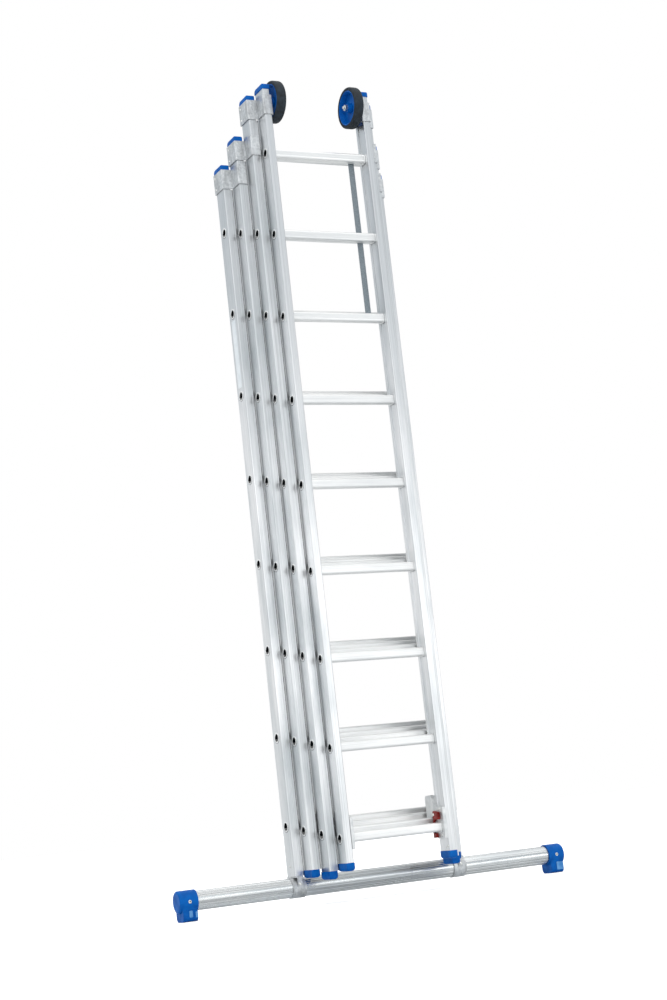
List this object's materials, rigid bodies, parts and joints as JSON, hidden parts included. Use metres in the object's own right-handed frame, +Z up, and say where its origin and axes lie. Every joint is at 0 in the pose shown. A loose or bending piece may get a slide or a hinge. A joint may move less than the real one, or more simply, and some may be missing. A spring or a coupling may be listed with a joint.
{
  "type": "extension ladder",
  "caption": "Nested push-up extension ladder: sliding rail sections with square rungs, hook plates, rung latches, wall wheels and a stabiliser bar.",
  "frame": {"origin": "on the floor, under the middle of the stabiliser tube and of the base section's depth", "axes": "+X along the rungs to the right as seen from the climber's side, +Y to the wall behind the ladder, +Z up along the rails"},
  "size_m": [1.38, 0.2637, 2.689],
  "materials": {
    "rail_aluminium": "mill-finish extruded",
    "cast_aluminium": "tumbled, satin",
    "galvanised_sheet": "galvanised, dull",
    "zinc_steel": "bright zinc",
    "blue_plastic": "moulded, semi-gloss",
    "red_plastic": "moulded",
    "wheel_rubber": "moulded, matt"
  },
  "bodies": {
    "base_section": {"base_caps": "blue_plastic", "base_guide_left": "galvanised_sheet", "base_guide_right": "galvanised_sheet", "base_rail_left": "rail_aluminium", "base_rail_right": "rail_aluminium", "base_rivets": "zinc_steel", "base_rungs": "rail_aluminium", "clamp_bolts": "zinc_steel", "clamp_left": "galvanised_sheet", "clamp_right": "galvanised_sheet", "end_foot_left": "blue_plastic", "end_foot_right": "blue_plastic", "end_foot_rivets": "zinc_steel", "stabiliser_tube": "rail_aluminium"},
    "lower_section": {"lower_caps": "blue_plastic", "lower_feet": "blue_plastic", "lower_guide_left": "galvanised_sheet", "lower_guide_right": "galvanised_sheet", "lower_hook_plate_left": "cast_aluminium", "lower_hook_plate_right": "cast_aluminium", "lower_latch_pins": "zinc_steel", "lower_rail_left": "rail_aluminium", "lower_rail_right": "rail_aluminium", "lower_rivets": "zinc_steel", "lower_rungs": "rail_aluminium"},
    "middle_section": {"middle_caps": "blue_plastic", "middle_feet": "blue_plastic", "middle_guide_left": "galvanised_sheet", "middle_guide_right": "galvanised_sheet", "middle_hook_plate_left": "cast_aluminium", "middle_hook_plate_right": "cast_aluminium", "middle_latch_pins": "zinc_steel", "middle_rail_left": "rail_aluminium", "middle_rail_right": "rail_aluminium", "middle_rivets": "zinc_steel", "middle_rungs": "rail_aluminium"},
    "top_section": {"axle_bolts": "zinc_steel", "axle_nuts": "zinc_steel", "top_caps": "blue_plastic", "top_feet": "blue_plastic", "top_hook_plate_left": "cast_aluminium", "top_hook_plate_right": "cast_aluminium", "top_latch_pins": "zinc_steel", "top_rail_left": "rail_aluminium", "top_rail_right": "rail_aluminium", "top_rivets": "zinc_steel", "top_rungs": "rail_aluminium", "top_stay_bar": "rail_aluminium"},
    "lower_latch_left_body": {"lower_latch_left": "red_plastic"},
    "lower_latch_right_body": {"lower_latch_right": "red_plastic"},
    "middle_latch_left_body": {"middle_latch_left": "red_plastic"},
    "middle_latch_right_body": {"middle_latch_right": "red_plastic"},
    "top_latch_left_body": {"top_latch_left": "red_plastic"},
    "top_latch_right_body": {"top_latch_right": "red_plastic"},
    "wheel_left": {"hub_left": "blue_plastic", "tyre_left": "wheel_rubber"},
    "wheel_right": {"hub_right": "blue_plastic", "tyre_right": "wheel_rubber"}
  },
  "joints": [
    {"name": "lower_slide", "type": "slide", "parent": "base_section", "child": "lower_section", "axis": [0, 0, 1], "range_m": [0, 1.68]},
    {"name": "middle_slide", "type": "slide", "parent": "lower_section", "child": "middle_section", "axis": [0, 0, 1], "range_m": [0, 1.68]},
    {"name": "top_slide", "type": "slide", "parent": "middle_section", "child": "top_section", "axis": [0, 0, 1], "range_m": [0, 1.68]},
    {"name": "lower_latch_left_pivot", "type": "hinge", "parent": "lower_section", "child": "lower_latch_left_body", "pos_m": [-0.2256, -0.037, 0.272], "axis": [1, 0, 0], "range_deg": [-8, 0]},
    {"name": "lower_latch_right_pivot", "type": "hinge", "parent": "lower_section", "child": "lower_latch_right_body", "pos_m": [0.2256, -0.037, 0.272], "axis": [1, 0, 0], "range_deg": [-8, 0]},
    {"name": "middle_latch_left_pivot", "type": "hinge", "parent": "middle_section", "child": "middle_latch_left_body", "pos_m": [-0.1901, -0.09, 0.254], "axis": [1, 0, 0], "range_deg": [-8, 0]},
    {"name": "middle_latch_right_pivot", "type": "hinge", "parent": "middle_section", "child": "middle_latch_right_body", "pos_m": [0.1901, -0.09, 0.254], "axis": [1, 0, 0], "range_deg": [-8, 0]},
    {"name": "top_latch_left_pivot", "type": "hinge", "parent": "top_section", "child": "top_latch_left_body", "pos_m": [-0.1546, -0.143, 0.236], "axis": [1, 0, 0], "range_deg": [-8, 0]},
    {"name": "top_latch_right_pivot", "type": "hinge", "parent": "top_section", "child": "top_latch_right_body", "pos_m": [0.1546, -0.143, 0.236], "axis": [1, 0, 0], "range_deg": [-8, 0]},
    {"name": "wheel_left_spin", "type": "hinge", "parent": "top_section", "child": "wheel_left", "pos_m": [-0.1435, -0.159, 2.619], "axis": [1, 0, 0], "continuous": true},
    {"name": "wheel_right_spin", "type": "hinge", "parent": "top_section", "child": "wheel_right", "pos_m": [0.1435, -0.159, 2.619], "axis": [1, 0, 0], "continuous": true}
  ]
}
